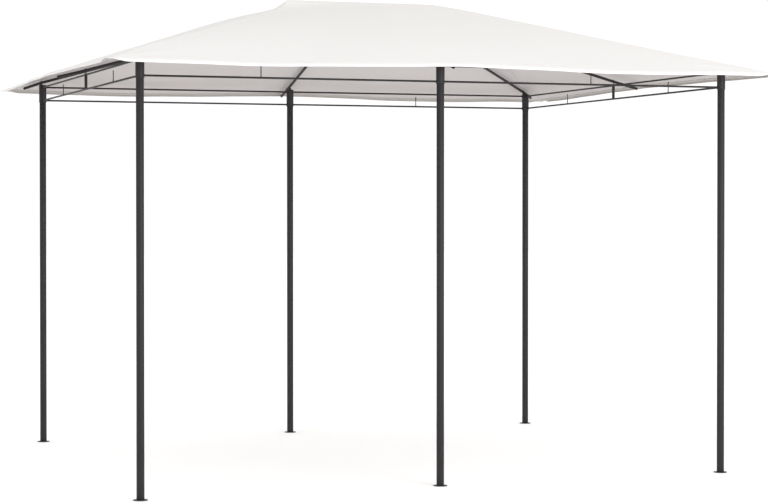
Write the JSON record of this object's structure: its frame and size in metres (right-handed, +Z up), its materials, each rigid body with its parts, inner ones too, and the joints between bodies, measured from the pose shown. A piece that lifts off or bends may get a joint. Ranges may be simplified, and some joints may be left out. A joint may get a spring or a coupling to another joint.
{
  "type": "garden gazebo",
  "caption": "Free-standing open garden gazebo: slim round steel posts, double thin rails and rafters under a hipped cream fabric canopy.",
  "frame": {"origin": "on the ground under the centre of the canopy's outline", "axes": "+X along the long side, +Z up, -Y towards the open front"},
  "size_m": [3.5, 3.02, 2.518],
  "materials": {
    "frame_steel": "anthracite powder coat, satin, fine texture",
    "canopy_fabric": "cream-white coated polyester, plain weave, matt"
  },
  "bodies": {
    "root": {"foot_front_left": "frame_steel", "post_front_left": "frame_steel", "head_front_left": "frame_steel", "foot_front_middle": "frame_steel", "post_front_middle": "frame_steel", "head_front_middle": "frame_steel", "foot_front_right": "frame_steel", "post_front_right": "frame_steel", "head_front_right": "frame_steel", "foot_back_left": "frame_steel", "post_back_left": "frame_steel", "head_back_left": "frame_steel", "foot_back_middle": "frame_steel", "post_back_middle": "frame_steel", "head_back_middle": "frame_steel", "foot_back_right": "frame_steel", "post_back_right": "frame_steel", "head_back_right": "frame_steel", "upper_rail_front_left": "frame_steel", "lower_rail_front_left": "frame_steel", "upper_rail_front_right": "frame_steel", "lower_rail_front_right": "frame_steel", "upper_rail_back_left": "frame_steel", "lower_rail_back_left": "frame_steel", "upper_rail_back_right": "frame_steel", "lower_rail_back_right": "frame_steel", "upper_rail_left": "frame_steel", "lower_rail_left": "frame_steel", "upper_rail_right": "frame_steel", "lower_rail_right": "frame_steel", "strut_left": "frame_steel", "strut_right": "frame_steel", "rafter_left": "frame_steel", "rafter_right": "frame_steel", "rafter_front_left": "frame_steel", "rafter_front_middle": "frame_steel", "rafter_front_right": "frame_steel", "rafter_back_left": "frame_steel", "rafter_back_middle": "frame_steel", "rafter_back_right": "frame_steel", "hub_left": "frame_steel", "hub_right": "frame_steel", "ridge_bar": "frame_steel", "canopy": "canopy_fabric"}
  },
  "joints": []
}
